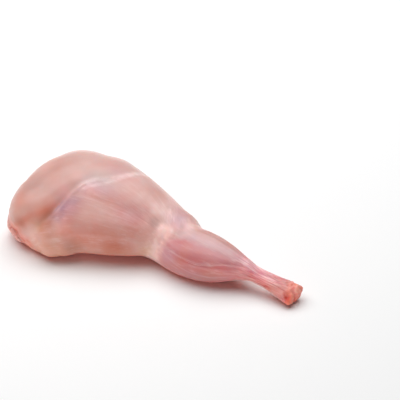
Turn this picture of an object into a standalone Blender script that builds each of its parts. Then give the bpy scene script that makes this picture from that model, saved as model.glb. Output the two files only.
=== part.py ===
"""Raw skinned hind leg of a rabbit, lying on its inner side, as one solid.

The leg is a smooth union of its muscles: each one is a tapering spindle between two points.
Furrows part the muscles, and a plane cuts the leg off through the hock. A sphere is wrapped
round a spine inside the leg and each of its points is moved out to the muscles' surface.

Lengths are millimetres in the leg's own layout: X from the hip to the hock, Y towards the
kneecap side, Z up from the surface that the leg lies on. They become metres at the end.
"""
from dataclasses import dataclass

import bmesh
import bpy
import numpy as np

NAME = "rabbit_leg"
METRES = 0.001

# Middle of the leg's box in the layout, which becomes the origin of the part.
MIDDLE_X = 4.9
MIDDLE_Y = -3.7

# How softly neighbouring muscles run into each other, and how sharp the edge of the cut is.
BLEND = 1.6
CUT_BLEND = 0.8
# Height over which the flesh rounds off into the flat that it lies on.
REST_ROUNDING = 1.5

# Points round the leg and along it: hip end, body, and the cut face at the hock.
SEGMENTS = 56
HIP_RINGS = 12
BODY_RINGS = 74
HOCK_RINGS = 8

# The search for the surface starts outside the leg, steps inwards, then halves the last step.
REACH = 70.0
SEARCH_STEPS = 50
HALVINGS = 18

FLESH_COLOUR = (0.72, 0.40, 0.34, 1.0)
FLESH_ROUGHNESS = 0.42


@dataclass(frozen=True)
class Muscle:
    """A spindle between two points, with its radius at the start, the middle and the end."""

    start: tuple
    end: tuple
    radii: tuple
    height_share: float = 1.0

    def distance(self, points):
        """Signed distance from the points to the spindle, negative inside it."""
        start = np.array(self.start)
        axis = np.array(self.end) - start
        along = np.clip(((points - start) @ axis) / (axis @ axis), 0.0, 1.0)
        offset = points - (start + along[..., None] * axis)
        first, middle, last = self.radii
        radius = (
            first * (1 - along) * (1 - 2 * along)
            + middle * 4 * along * (1 - along)
            + last * along * (2 * along - 1)
        )
        offset[..., 2] /= self.height_share
        return (np.linalg.norm(offset, axis=-1) - radius) * self.height_share ** 0.5


@dataclass(frozen=True)
class Furrow:
    """A valley along a line of points, with its depth at each of them."""

    points: tuple
    depths: tuple
    width: float

    def depth(self, points):
        """Depth that the valley takes off at the points."""
        nearest = np.full(points.shape[:-1], np.inf)
        deep = np.zeros(points.shape[:-1])
        corners = np.array(self.points)
        for first, last, deep_first, deep_last in zip(
            corners[:-1], corners[1:], self.depths[:-1], self.depths[1:]
        ):
            axis = last - first
            along = np.clip(((points - first) @ axis) / (axis @ axis), 0.0, 1.0)
            distance = np.linalg.norm(points - (first + along[..., None] * axis), axis=-1)
            closer = distance < nearest
            nearest = np.where(closer, distance, nearest)
            deep = np.where(closer, deep_first + (deep_last - deep_first) * along, deep)
        return deep * np.exp(-((nearest / self.width) ** 2))


MUSCLES = (
    # rump
    Muscle((-67, -18, 19), (-56.5, 8.5, 22), (24.2, 28.0, 26.6), 0.88),
    # lobe over the seat bone, and the lip of the cut at the hip
    Muscle((-61, -29, 12), (-50, -27.5, 13), (14.3, 16, 14)),
    Muscle((-86, -26.5, 9.5), (-72, -35.5, 8.5), (6.5, 7.5, 5)),
    # thigh, far side and near side
    Muscle((-38.5, 9, 21.2), (16, 4, 16), (27.8, 22.3, 13), 0.86),
    Muscle((-46, -18, 17), (9, -5, 15.5), (19, 17.1, 11), 0.95),
    # knee and kneecap
    Muscle((10, -1, 15), (21, 1.5, 14), (12, 13, 10)),
    Muscle((13, 8.5, 20), (21, 8, 16), (5, 6, 4)),
    # calf and shin
    Muscle((10, -10, 10.5), (64, -7.6, 11.6), (8.5, 13.2, 5)),
    Muscle((22, 2, 15), (66, -3.5, 13), (9, 9, 3.6)),
    # ankle, heel tendon and front tendon
    Muscle((56, -5.2, 13), (105, -6.8, 4), (5.2, 2.8, 6.2)),
    Muscle((62, -7.8, 12.5), (105, -12.8, 3.2), (1.5, 0.9, 2.6)),
    Muscle((64, -3.5, 15), (105, -3.0, 7.8), (1.4, 1.3, 1.8)),
)

FURROWS = (
    # between the rump and the thigh, round to the kneecap side
    Furrow(
        ((-68, -43, 12), (-60.5, -39, 23), (-54.5, -31, 30), (-50, -18, 37), (-44, -5, 41), (-27, 9, 43)),
        (1.2, 2.4, 3.1, 1.7, 0.7, 0.5),
        5.5,
    ),
    Furrow(((-27, 9, 43), (-8, 22, 38), (0, 34, 22)), (0.5, 0.3, 0.1), 6.0),
    # where the rump rolls over, down to the lip
    Furrow(
        ((-80, -43, 11), (-74.5, -40, 21), (-66, -37, 30), (-59, -29, 33), (-55, -22, 35.5)),
        (1.8, 2.0, 1.5, 0.9, 0.4),
        5.0,
    ),
    # across the leg below the knee
    Furrow(
        ((32, 14, 18), (27, 4, 26), (14, -8, 28), (11, -20, 17), (8, -22, 5)),
        (0.9, 0.8, 0.6, 0.8, 1.0),
        4.0,
    ),
    # between the calf and the shin
    Furrow(((22, -6, 26), (44, -7, 24), (66, -7, 18)), (0, 0.8, 0), 3.0),
)

# The cut through the hock: a point of its plane, and the way that the plane faces.
HOCK_CUT_POINT = (101.2, -5.6, 4.5)
HOCK_CUT_FACING = (0.95, -0.32, 0.0)

SPINE = (
    (-68, -8, 20), (-45, -2, 20), (-10, 0, 17), (18, -2, 14), (48, -3, 12), (74.5, -5, 10), (92.7, -5.9, 6.5)
)


def smooth_least(values, blend):
    """Least of several distances, rounded where two of them are close."""
    least = values.min(axis=0)
    return least - blend * np.log(np.exp(-(values - least) / blend).sum(axis=0))


def leg_distance(points):
    """Signed distance from the points to the leg's surface, negative inside the leg."""
    flesh = smooth_least(np.stack([muscle.distance(points) for muscle in MUSCLES]), BLEND)
    for furrow in FURROWS:
        flesh = flesh + furrow.depth(points)
    facing = np.array(HOCK_CUT_FACING)
    beyond_cut = (points - np.array(HOCK_CUT_POINT)) @ (facing / np.linalg.norm(facing))
    return -smooth_least(np.stack([-flesh, -beyond_cut]), CUT_BLEND)


def spine_curve(shares):
    """Points and directions on a smooth curve through SPINE, at shares 0 to 1 of its length."""
    corners = np.array(SPINE, dtype=float)
    knots = np.concatenate([[0.0], np.cumsum(np.linalg.norm(np.diff(corners, axis=0), axis=1))])
    knots /= knots[-1]
    slopes = np.gradient(corners, knots, axis=0)
    piece = np.clip(np.searchsorted(knots, shares, side="right") - 1, 0, len(knots) - 2)
    length = (knots[piece + 1] - knots[piece])[:, None]
    part = (shares - knots[piece])[:, None] / length
    first, last = corners[piece], corners[piece + 1]
    slope_first, slope_last = slopes[piece] * length, slopes[piece + 1] * length
    places = (
        first * (2 * part**3 - 3 * part**2 + 1)
        + slope_first * (part**3 - 2 * part**2 + part)
        + last * (3 * part**2 - 2 * part**3)
        + slope_last * (part**3 - part**2)
    )
    directions = (
        first * (6 * part**2 - 6 * part)
        + slope_first * (3 * part**2 - 4 * part + 1)
        + last * (6 * part - 6 * part**2)
        + slope_last * (3 * part**2 - 2 * part)
    )
    return places, directions / np.linalg.norm(directions, axis=1, keepdims=True)


def rays_from_spine(sphere_points):
    """Start and direction of the ray on which each point of a unit sphere finds the surface.

    The sphere's poles look out of the two ends of the spine, and its other rings lie round it.
    """
    rings = HIP_RINGS + BODY_RINGS + HOCK_RINGS
    ring = np.arccos(np.clip(-sphere_points[:, 2], -1.0, 1.0)) / np.pi * rings
    turn = np.arctan2(sphere_points[:, 1], sphere_points[:, 0])
    starts, along = spine_curve(np.clip((ring - HIP_RINGS) / BODY_RINGS, 0.0, 1.0))
    sideways = np.cross((0.0, 0.0, 1.0), along)
    sideways /= np.linalg.norm(sideways, axis=1, keepdims=True)
    upwards = np.cross(along, sideways)
    outwards = np.cos(turn)[:, None] * sideways + np.sin(turn)[:, None] * upwards
    hip_lean = np.clip(1.0 - ring / HIP_RINGS, 0.0, 1.0)
    hock_lean = np.clip((ring - HIP_RINGS - BODY_RINGS) / HOCK_RINGS, 0.0, 1.0)
    lean = ((hock_lean - hip_lean) * np.pi / 2)[:, None]
    return starts, np.cos(lean) * outwards + np.sin(lean) * along


def surface_points(starts, directions):
    """Outermost point of the leg on each ray."""
    outer = np.full(len(starts), REACH)
    inner = np.zeros(len(starts))
    found = np.zeros(len(starts), dtype=bool)
    step = REACH / SEARCH_STEPS
    for reach in np.arange(REACH - step, 0.0, -step):
        inside = leg_distance(starts + directions * reach) < 0
        newly = inside & ~found
        inner[newly] = reach
        outer[newly] = reach + step
        found |= newly
    for _ in range(HALVINGS):
        middle = (inner + outer) / 2
        inside = leg_distance(starts + directions * middle[:, None]) < 0
        inner = np.where(inside, middle, inner)
        outer = np.where(inside, outer, middle)
    return starts + directions * inner[:, None]


def lay_down(points):
    """Points pressed onto the flat at height 0, with the flesh rounded above its edge."""
    height = points[:, 2]
    rounded = (height + REST_ROUNDING) ** 2 / (4 * REST_ROUNDING)
    height = np.where(height > REST_ROUNDING, height, rounded)
    points[:, 2] = np.where(points[:, 2] < -REST_ROUNDING, 0.0, height)
    return points


def flesh_material():
    """Moist pale pink flesh."""
    material = bpy.data.materials.new("raw_flesh")
    material.use_nodes = True
    shader = material.node_tree.nodes["Principled BSDF"]
    shader.inputs["Base Color"].default_value = FLESH_COLOUR
    shader.inputs["Roughness"].default_value = FLESH_ROUGHNESS
    shader.inputs["Metallic"].default_value = 0.0
    return material


def build_leg():
    """The leg as one object, wrapped from a sphere."""
    body = bmesh.new()
    rings = HIP_RINGS + BODY_RINGS + HOCK_RINGS
    bmesh.ops.create_uvsphere(body, u_segments=SEGMENTS, v_segments=rings, radius=1.0)
    sphere_points = np.array([vertex.co[:] for vertex in body.verts])
    points = lay_down(surface_points(*rays_from_spine(sphere_points)))
    points = (points - (MIDDLE_X, MIDDLE_Y, 0.0)) * METRES
    for vertex, place in zip(body.verts, points):
        vertex.co = place
    mesh = bpy.data.meshes.new(NAME)
    body.to_mesh(mesh)
    body.free()
    mesh.shade_smooth()
    mesh.materials.append(flesh_material())
    leg = bpy.data.objects.new(NAME, mesh)
    bpy.context.scene.collection.objects.link(leg)
    return leg


def main():
    """Clear the scene and build the leg in it."""
    for unwanted in list(bpy.data.objects):
        bpy.data.objects.remove(unwanted, do_unlink=True)
    build_leg()


main()
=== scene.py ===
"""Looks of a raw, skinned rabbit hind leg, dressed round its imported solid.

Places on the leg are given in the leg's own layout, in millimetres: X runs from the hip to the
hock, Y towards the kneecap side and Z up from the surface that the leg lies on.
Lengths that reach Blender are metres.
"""

import logging
import math
from dataclasses import dataclass
from enum import Enum

import bpy
import numpy as np
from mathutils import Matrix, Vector, noise
from mathutils.bvhtree import BVHTree


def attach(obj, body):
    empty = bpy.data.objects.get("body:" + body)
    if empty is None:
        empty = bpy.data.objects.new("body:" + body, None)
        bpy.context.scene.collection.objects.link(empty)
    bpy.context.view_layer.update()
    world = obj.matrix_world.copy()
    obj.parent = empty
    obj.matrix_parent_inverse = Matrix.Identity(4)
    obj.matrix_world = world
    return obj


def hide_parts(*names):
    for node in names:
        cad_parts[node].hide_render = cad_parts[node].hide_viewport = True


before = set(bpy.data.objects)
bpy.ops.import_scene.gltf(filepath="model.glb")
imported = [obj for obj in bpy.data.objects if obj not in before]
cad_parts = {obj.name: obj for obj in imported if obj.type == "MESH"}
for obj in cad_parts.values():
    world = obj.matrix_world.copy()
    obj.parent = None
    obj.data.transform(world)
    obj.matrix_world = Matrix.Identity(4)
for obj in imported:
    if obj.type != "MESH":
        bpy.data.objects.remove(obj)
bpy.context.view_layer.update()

LOG = logging.getLogger("rabbit_leg")
NODE = "rabbit_leg"
BODY = "root"

METRES = 0.001
# Where the part's origin is in the layout.
LAYOUT_MIDDLE = np.array((4.9, -3.7, 0.0))
# Distance in metres under which two points become one.
MERGE = 1e-6
# Brings Blender's noise to about -1 to 1.
NOISE_REACH = 1.6
# Step between the random patterns of one piece's strands.
STRAND_SEED = 3.7

Colour = tuple[float, float, float, float]
Place = tuple[float, float, float]


class Slot(Enum):
    """Material slots of the record that the pieces take their finish from."""

    FLESH = "raw_flesh"
    TENDON = "tendon"
    CUT = "cut_face"


# ---------------------------------------------------------------- measures


def to_metres(places: np.ndarray) -> np.ndarray:
    """Turn layout millimetres into world metres.

    Args:
        places: Points in the layout, one a row.

    Returns:
        The same points in metres.
    """
    return (np.asarray(places, dtype=float) - LAYOUT_MIDDLE) * METRES


def to_layout(places: np.ndarray) -> np.ndarray:
    """Turn world metres into layout millimetres.

    Args:
        places: Points in metres, one a row.

    Returns:
        The same points in the layout.
    """
    return np.asarray(places, dtype=float) / METRES + LAYOUT_MIDDLE


def ease(low: float, high: float, values: np.ndarray) -> np.ndarray:
    """Rise smoothly from 0 at low to 1 at high.

    Args:
        low: Value at which the rise starts.
        high: Value at which it is complete. It may be below low, for a fall.
        values: Where to read the rise.

    Returns:
        Shares from 0 to 1.
    """
    share = np.clip((values - low) / (high - low), 0.0, 1.0)
    return share * share * (3 - 2 * share)


def hump(distances: np.ndarray, width: float) -> np.ndarray:
    """Fall off from 1 at distance 0, as a bell of the given half width.

    Args:
        distances: Distances, of either sign.
        width: Distance at which the bell is down to 0.37.

    Returns:
        Shares from 0 to 1.
    """
    return np.exp(-((distances / width) ** 2))


@dataclass(frozen=True)
class Speckle:
    """Smooth random values that change over a size, by a strength to both sides of a level.

    The seed moves the pattern to another part of the noise.
    """

    size: float
    seed: float
    strength: float = 1.0
    level: float = 0.0

    def read(self, places: np.ndarray) -> np.ndarray:
        """Read the values at points.

        Args:
            places: Points, one a row.

        Returns:
            One value for each point.
        """
        scaled = places / self.size + self.seed
        values = np.array([noise.noise(Vector(place)) for place in scaled]) * NOISE_REACH
        return self.level + self.strength * values


@dataclass(frozen=True)
class Blob:
    """A soft spot on the leg: its middle, its reach along X, Y and Z, and its strength."""

    middle: Place
    reach: Place
    strength: float = 1.0

    def share(self, places: np.ndarray) -> np.ndarray:
        """Share of the spot at the places, 1 in its middle."""
        offset = (places - np.array(self.middle)) / np.array(self.reach)
        return np.exp(-(offset**2).sum(axis=1))

    def effect(self, places: np.ndarray) -> np.ndarray:
        """Strength of the spot at the places."""
        return self.strength * self.share(places)


def effects(blobs: tuple[Blob, ...], places: np.ndarray) -> np.ndarray:
    """Sum of the blobs' strengths at the places."""
    return sum(blob.effect(places) for blob in blobs)


@dataclass(frozen=True)
class Stripe:
    """A soft stripe along a line: its strength, half width, and distance from the line."""

    strength: float
    width: float
    offset: float = 0.0

    def effect(self, distances: np.ndarray) -> np.ndarray:
        """Strength of the stripe at signed distances from its line."""
        return self.strength * hump(distances - self.offset, self.width)


@dataclass(frozen=True)
class Fade:
    """A soft border: nothing at its start and all from full on, which may lie below the start."""

    start: float
    full: float

    def share(self, values: np.ndarray) -> np.ndarray:
        """Share at the values, from 0 to 1."""
        return ease(self.start, self.full, values)


@dataclass(frozen=True)
class Span:
    """A stretch with soft ends: it rises from start to full, and falls from fade to end."""

    start: float
    full: float
    fade: float
    end: float

    def share(self, values: np.ndarray) -> np.ndarray:
        """Share of the stretch at the values, 1 in its middle and 0 outside it."""
        return ease(self.start, self.full, values) * ease(self.end, self.fade, values)


@dataclass(frozen=True)
class Trace:
    """A line over the leg's surface through given points of the layout."""

    points: tuple[Place, ...]
    steps: int = 8

    def smooth(self) -> np.ndarray:
        """Run a smooth curve through the trace's own points.

        Returns:
            Points close together on the curve, one a row.
        """
        corners = np.array(self.points, dtype=float)
        slopes = np.gradient(corners, axis=0)
        shares = np.linspace(0.0, 1.0, self.steps, endpoint=False)[:, None]
        pieces = []
        for first, last, slope_first, slope_last in zip(
            corners[:-1], corners[1:], slopes[:-1], slopes[1:]
        ):
            pieces.append(
                first * (2 * shares**3 - 3 * shares**2 + 1)
                + slope_first * (shares**3 - 2 * shares**2 + shares)
                + last * (3 * shares**2 - 2 * shares**3)
                + slope_last * (shares**3 - shares**2)
            )
        return np.vstack(pieces + [corners[-1:]])

    def nearest(
        self, places: np.ndarray, normals: np.ndarray
    ) -> tuple[np.ndarray, np.ndarray]:
        """Find how far each place is from the trace, and where along it.

        Args:
            places: Points of the layout, one a row.
            normals: The surface's normals there.

        Returns:
            Distances, negative on the left of the trace as seen from outside, and shares of
            the trace's length at the nearest points.
        """
        line = self.smooth()
        best = np.full(len(places), np.inf)
        signed = np.zeros(len(places))
        along = np.zeros(len(places))
        for index, (first, last) in enumerate(zip(line[:-1], line[1:])):
            axis = last - first
            share = np.clip(((places - first) @ axis) / (axis @ axis), 0.0, 1.0)
            offset = places - (first + share[:, None] * axis)
            distance = np.linalg.norm(offset, axis=1)
            closer = distance < best
            side = -np.sign((np.cross(axis, offset[closer]) * normals[closer]).sum(axis=1))
            best[closer] = distance[closer]
            signed[closer] = distance[closer] * side
            along[closer] = (index + share[closer]) / (len(line) - 1)
        return signed, along


@dataclass(frozen=True)
class ShankChart:
    """Angles round the axis that runs through the shank, bent down from the knee to the hock."""

    axis: tuple[Place, ...] = ((10.0, -2.0, 14.0), (60.0, -5.7, 11.3), (103.0, -7.4, 5.6))
    lowest: float = -110.0

    def read(self, places: np.ndarray) -> tuple[np.ndarray, np.ndarray, np.ndarray]:
        """Read the chart at the places.

        Args:
            places: Points of the layout, one a row.

        Returns:
            The X of each place, its angle in degrees, from 0 on the near side over 90 on top to
            180 on the far side, with the underside below 0, and its distance from the axis.
        """
        along, across, up = np.array(self.axis).T
        near = np.interp(places[:, 0], along, across) - places[:, 1]
        high = places[:, 2] - np.interp(places[:, 0], along, up)
        angle = np.degrees(np.arctan2(high, near))
        angle = np.where(angle < self.lowest, angle + 360.0, angle)
        return places[:, 0], angle, np.hypot(near, high)


@dataclass(frozen=True)
class Seam:
    """A line along the shank between two muscles: its angles at a few X, and its strength.

    The groove is the share of that strength that its groove gets.
    """

    along: tuple[float, ...]
    angles: tuple[float, ...]
    strength: float = 1.0
    groove: float = 1.0

    def distance(self, x: np.ndarray, angle: np.ndarray, radius: np.ndarray) -> np.ndarray:
        """Distance to the seam round the shank, in millimetres, positive above it."""
        return np.radians(angle - np.interp(x, self.along, self.angles)) * radius

    def shown(self, x: np.ndarray) -> np.ndarray:
        """Strength of the seam at each X, fading out past its two ends."""
        first, last = self.along[0], self.along[-1]
        return self.strength * Span(first - 2, first + 3, last - 3, last + 3).share(x)


@dataclass(frozen=True)
class Tendon:
    """A tendon that stands out along the ankle: its angle in degrees, half width and height."""

    angle: float
    width: float
    height: float

    def effect(self, angle: np.ndarray, radius: np.ndarray) -> np.ndarray:
        """Height of the tendon at angles and distances from the shank's axis."""
        apart = np.radians((angle - self.angle + 180.0) % 360.0 - 180.0) * radius
        return self.height * hump(apart, self.width)


# ---------------------------------------------------------------- the leg's anatomy

CHART = ShankChart()

# Border between the thigh and the shank: the chart's angle and X, round the whole knee.
KNEE_BORDER = (
    (-110.0, 16.0),
    (-60.0, 12.0),
    (-29.0, 9.0),
    (0.0, 9.5),
    (34.0, 11.5),
    (63.0, 12.5),
    (85.0, 17.0),
    (106.0, 21.5),
    (125.0, 26.0),
    (134.0, 29.0),
    (165.0, 33.0),
    (188.0, 34.0),
    (250.0, 16.0),
)

# Crisp edge of the thigh where it meets the rump, and on as a pale band to the kneecap side.
FURROW = Trace(
    (
        (-70, -43.5, 12),
        (-65.5, -41.5, 17),
        (-62, -39, 21.5),
        (-57.5, -36, 26.5),
        (-54.8, -31.5, 29.6),
        (-53, -26, 32),
        (-50.5, -19, 36),
        (-48, -12.5, 38.8),
        (-45, -6.5, 40.5),
        (-39.5, -1.5, 42),
        (-32.5, 2.5, 42.5),
        (-28.5, 7.5, 42.5),
        (-24.5, 13, 41),
        (-20, 20, 38),
        (-13, 30, 26),
    )
)
# Part of the furrow's length that is a pale band.
PALE_BAND = Span(0.40, 0.55, 0.9, 1.0)
# A second band, which leaves the furrow where the pale band starts.
LOWER_BAND = Trace(
    (
        (-46, -11, 38),
        (-42, -8, 39.5),
        (-36.5, -5, 41),
        (-30, 0.5, 42),
        (-25.5, 7, 41.5),
        (-21.5, 14, 40.5),
    )
)
# Where the rump rolls down into the furrow, and on to the lip at the hip's cut.
ROLL = Trace(
    (
        (-80, -38, 14),
        (-76, -39, 19.5),
        (-72, -39, 24.5),
        (-66, -36.5, 30),
        (-61, -31.5, 32),
        (-57, -25.5, 33.5),
        (-53, -19.5, 36.5),
    )
)
# Edge of the thigh's near muscle, down from the kneecap side to the knee's near side.
KNEE_SEAM = Trace(
    (
        (4, 16, 33),
        (8, 9, 33),
        (10, 1, 31),
        (12, -6, 27),
        (12, -11, 23),
        (11.5, -15, 18),
        (10, -18, 12),
        (9, -18, 6),
    )
)
# Fold of tissue round the near edge of the kneecap.
KNEECAP = Trace(((9, 5, 31), (13, 1, 29.5), (17, -1, 28), (21, 1, 27), (26, 5, 25), (31, 8, 22)))
# Crease between the lip at the hip's cut and the rump above it.
LIP_FOLD = Trace(
    (
        (-86, -32, 16),
        (-82, -36.5, 14),
        (-78.5, -38.5, 13),
        (-75, -39.5, 11.5),
        (-71, -41, 9),
        (-69, -42, 6),
    )
)

# Upper edge of the shank's dark muscle.
MUSCLE_TOP = Seam((15, 21, 27, 34, 45, 55, 67, 78), (35, 50, 60, 62, 68, 74, 72, 84), 0.6, 0.15)
# Pale lines between the shank's muscles: three on the near side, then the far side and below.
UPPER_SEPTUM = Seam((16, 28, 39, 48, 56, 70, 78), (24, 20, 19, 25, 40, 72, 80), 1.0, 0.6)
ANKLE_SEPTUM = Seam((46, 59, 68, 76), (4, 10, 28, 46), 0.5)
PALE_SEPTA = (
    UPPER_SEPTUM,
    Seam((13, 20, 26, 37, 49, 60), (14, 8, 2, -5, -8, 0), 0.8, 0.5),
    ANKLE_SEPTUM,
    Seam((34, 45, 56, 70), (118, 124, 128, 120), 0.5),
    Seam((22, 34, 46, 60), (-48, -52, -50, -40), 0.5),
)

# Middle of the broad tendon that crosses the ankle on top.
ANKLE_TENDON = Seam((58, 66, 72, 80, 88), (74, 90, 94, 90, 80))

# Tendons round the ankle, from the underside over the near side and the top to the far side.
ANKLE_TENDONS = (
    Tendon(-62.0, 1.3, 0.6),
    Tendon(-22.0, 1.2, 0.45),
    Tendon(12.0, 1.1, 0.45),
    Tendon(46.0, 1.2, 0.5),
    Tendon(84.0, 1.4, 0.6),
    Tendon(120.0, 1.2, 0.45),
    Tendon(160.0, 1.3, 0.5),
    Tendon(205.0, 1.4, 0.5),
)

# A hollow and two swellings of the hip end, which the plain solid is too smooth for.
HIP_FORMS = (
    Blob((-90, -23, 26), (8, 9, 9), -0.6),
    Blob((-81, -14.5, 36), (6, 7, 6), 0.9),
    Blob((-65, -38, 24), (4.5, 4.0, 3.2), 1.2),
)

# Small pads of fat down the near side of the knee.
KNEE_PADS = (
    Blob((12, -8.5, 25.5), (3.0, 3.0, 3.0), 0.6),
    Blob((9.5, -18.5, 11.5), (3.0, 2.5, 3.5), 0.6),
)

# Two rounded ends of bone under the tissue of the cut hock, and the pit and groove by them.
HOCK_ENDS = (
    Blob((100.5, -4.5, 8.0), (3.0, 3.0, 3.4), 0.8),
    Blob((98.5, -10.5, 3.5), (3.0, 2.8, 2.8), 0.7),
    Blob((96.8, -12.6, 7.0), (2.8, 2.3, 2.2), -1.7),
    Blob((100, -8.0, 7.0), (3.0, 1.2, 3.0), -1.1),
)


@dataclass(frozen=True)
class Patch(Blob):
    """A soft spot where the flesh is painted lighter, more colourful or more orange than its kind,
    partly its own tone and partly painted light and shade.

    All three run from -1 to 1, and below 0 the flesh is deeper, greyer or more purple.
    """

    light: float = 0.0
    colour: float = 0.0
    warmth: float = 0.0


# Spots where the flesh's colour departs from its muscle's own: partly its own tone, and partly painted
# light and shade, lighter in the furrow's valley and darker on ridges that catch the light and where
# the thigh meets the floor.
PATCHES = (
    # rump
    # painted shade on a ridge of the rump that catches the light
    Patch((-61, -8, 45), (10, 8, 8), light=-0.4, colour=0.5),
    Patch((-75, -22, 37), (5, 7, 5), light=-0.3),
    Patch((-73, -4, 42), (6, 6, 5), light=0.35),
    # painted shade on a ridge of the rump that catches the light
    Patch((-67, -22, 39), (8, 8, 8), light=-0.65, colour=0.4),
    Patch((-76, -30, 32), (9, 8, 8), light=0.25, colour=0.4),
    Patch((-73.5, -39.5, 22.5), (6, 4, 4), light=-0.8, colour=0.9),
    # painted light on the rump's side of the furrow's valley
    Patch((-58, -25, 35), (6, 6, 4), light=1.0),
    Patch((-57, -32, 30), (5, 5, 4), colour=0.2),
    Patch((-63, -32, 33), (5, 5, 4), light=0.45),
    Patch((-61, -38.5, 24), (4, 4, 4), light=0.1, colour=0.4, warmth=0.2),
    Patch((-57, -35.5, 27.5), (4, 4, 4), light=-0.2, colour=0.7),
    Patch((-54.8, -31.5, 29.6), (3, 4, 4), light=-0.3, colour=0.5),
    # painted light on the rump's side of the upper furrow
    Patch((-53, -16, 38.5), (5, 6, 4), light=0.8, warmth=-0.3),
    # lobe and thigh
    Patch((-53.5, -34, 27.5), (3.5, 4, 4), light=-0.5),
    Patch((-45, -34.5, 26.5), (6, 5, 5), light=0.6),
    # painted shadow where the thigh's underside meets the floor
    Patch((-35.5, -36.5, 13), (8, 4, 5), light=-0.9, colour=0.3),
    # painted light in the upper furrow
    Patch((-50, -5, 43.5), (5, 5, 4), light=0.4),
    Patch((-37, 0, 42), (12, 6, 5), light=-0.65, colour=-0.5),
    Patch((-38, -11, 38.5), (6, 5, 4), light=0.4),
    Patch((-27, -17, 33), (11, 6, 6), light=-0.5),
    Patch((3, 0, 33), (6, 6, 5), light=0.35, colour=-0.35),
    Patch((-47, -24, 33), (7, 6, 6), light=-0.75, colour=0.4, warmth=-0.4),
    Patch((-42, -24, 32.5), (5, 5, 4), light=-0.5, colour=0.4),
    Patch((-38, -19, 35), (9, 6, 5), light=-0.5, colour=0.5),
    Patch((-36, -5, 40), (12, 5, 5), colour=-0.3, warmth=-0.6),
    Patch((-30, 11, 43), (11, 7, 5), light=-0.3, colour=0.3, warmth=-0.3),
    Patch((-18, 14, 38), (7, 6, 6), light=0.3, colour=-0.4),
    Patch((8, 13, 29), (7, 6, 6), light=0.5, colour=-0.3),
    Patch((-10, -11, 32), (12, 8, 6), light=-0.35, colour=0.2, warmth=-0.3),
    Patch((-34, -32, 22), (10, 5, 6), colour=0.6),
    Patch((-10, -28, 12), (20, 7, 6), light=-0.5, colour=0.2),
    Patch((-13, -26, 18), (8, 6, 5), light=-0.3, colour=0.5),
    # knee and shank
    Patch((22, 3, 26), (6, 5, 5), light=0.25, colour=-0.3),
    Patch((12, -4, 28.5), (4, 4, 3.5), light=-0.5),
    Patch((18, 0, 27.5), (5, 5, 4), light=-0.5, warmth=-0.8),
    Patch((6, -19, 14), (5, 4, 6), light=-0.4, colour=0.4, warmth=0.4),
    Patch((5.5, -8, 28), (3.5, 4, 3.5), light=-0.9),
    Patch((13, -9, 25.5), (4.5, 3.5, 4), light=0.5),
    Patch((24, -11, 23), (8, 4, 3), light=-0.3, colour=0.5),
    Patch((38, -20, 16), (14, 4, 5), colour=0.3),
    Patch((43, -20.5, 7.5), (18, 4, 4), light=-0.5, colour=-0.2),
    Patch((49.5, -14.5, 20.5), (9, 4, 4), light=0.3, colour=-0.2),
    Patch((55, -16, 16), (7, 4, 4), light=0.5, colour=0.2),
    # ankle and hock
    Patch((62, -7.5, 18.5), (5, 4, 3), light=-0.5),
    Patch((68, -5, 16), (10, 5, 5), light=0.3, warmth=-0.4),
    Patch((70, -4.5, 16.5), (5, 3, 3), colour=-0.7),
    Patch((82, -4.5, 13), (5, 3, 3), colour=-0.4),
    Patch((80, -11, 6.5), (16, 4, 5), light=-0.35, colour=0.4, warmth=0.3),
    Patch((79, -6.5, 13.5), (7, 4, 4), light=0.4, warmth=-0.2),
    Patch((86, -9.5, 9.5), (4, 3, 3), light=-0.3, colour=0.1),
    Patch((99.5, -7, 9), (3, 5, 4), light=0.9, colour=-0.4),
    Patch((95, -6, 11), (4, 4, 3), light=-0.2, colour=-0.1),
)


@dataclass
class Surface:
    """Points of the leg's surface, with what the anatomy says about each of them."""

    places: np.ndarray
    normals: np.ndarray
    shank_edge: Fade = Fade(-0.8, 0.8)
    rump_edge: Fade = Fade(1.0, -1.0)
    ankle_start: Fade = Fade(58, 78)
    before_cut: Fade = Fade(99.5, 96.5)
    border: Stripe = Stripe(1.3, 1.2)
    rump_calm: float = 0.6
    hip_line: float = -20.0
    hip_line_slant: float = 0.5

    def __post_init__(self) -> None:
        """Read the traces and the chart once, for the relief and the tones alike."""
        self.z = self.places[:, 2]
        self.x, self.angle, self.radius = CHART.read(self.places)
        self.past_knee = self.x - np.interp(self.angle, *np.array(KNEE_BORDER).T)
        self.furrow, self.furrow_along = FURROW.nearest(self.places, self.normals)
        self.band, self.band_along = LOWER_BAND.nearest(self.places, self.normals)
        self.cap, _ = KNEECAP.nearest(self.places, self.normals)
        self.knee, self.knee_along = KNEE_SEAM.nearest(self.places, self.normals)
        self.fold, self.fold_along = LIP_FOLD.nearest(self.places, self.normals)
        self.roll, self.roll_along = ROLL.nearest(self.places, self.normals)
        self.shank = self.shank_edge.share(self.past_knee)
        # On the knee's side of the hip line, nothing beyond the furrow is rump.
        hip_side = self.places[:, 0] < self.hip_line + self.hip_line_slant * self.places[:, 1]
        self.rump = np.where(hip_side, self.rump_edge.share(self.furrow), 0.0)
        self.thigh = (1 - self.shank) * (1 - self.rump)
        self.ankle = self.ankle_start.share(self.x)
        at_furrow = np.where(hip_side, self.border.effect(self.furrow), 0.0)
        border = np.minimum(1.0, np.maximum(self.border.effect(self.past_knee), at_furrow))
        self.calm = (1 - border) * (1 - self.rump_calm * self.rump) * self.before_cut.share(self.x)

    def from_seam(self, seam: Seam) -> np.ndarray:
        """Distance of each point to a seam of the shank, positive above it."""
        return seam.distance(self.x, self.angle, self.radius)


# ---------------------------------------------------------------- relief of the flesh


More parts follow.
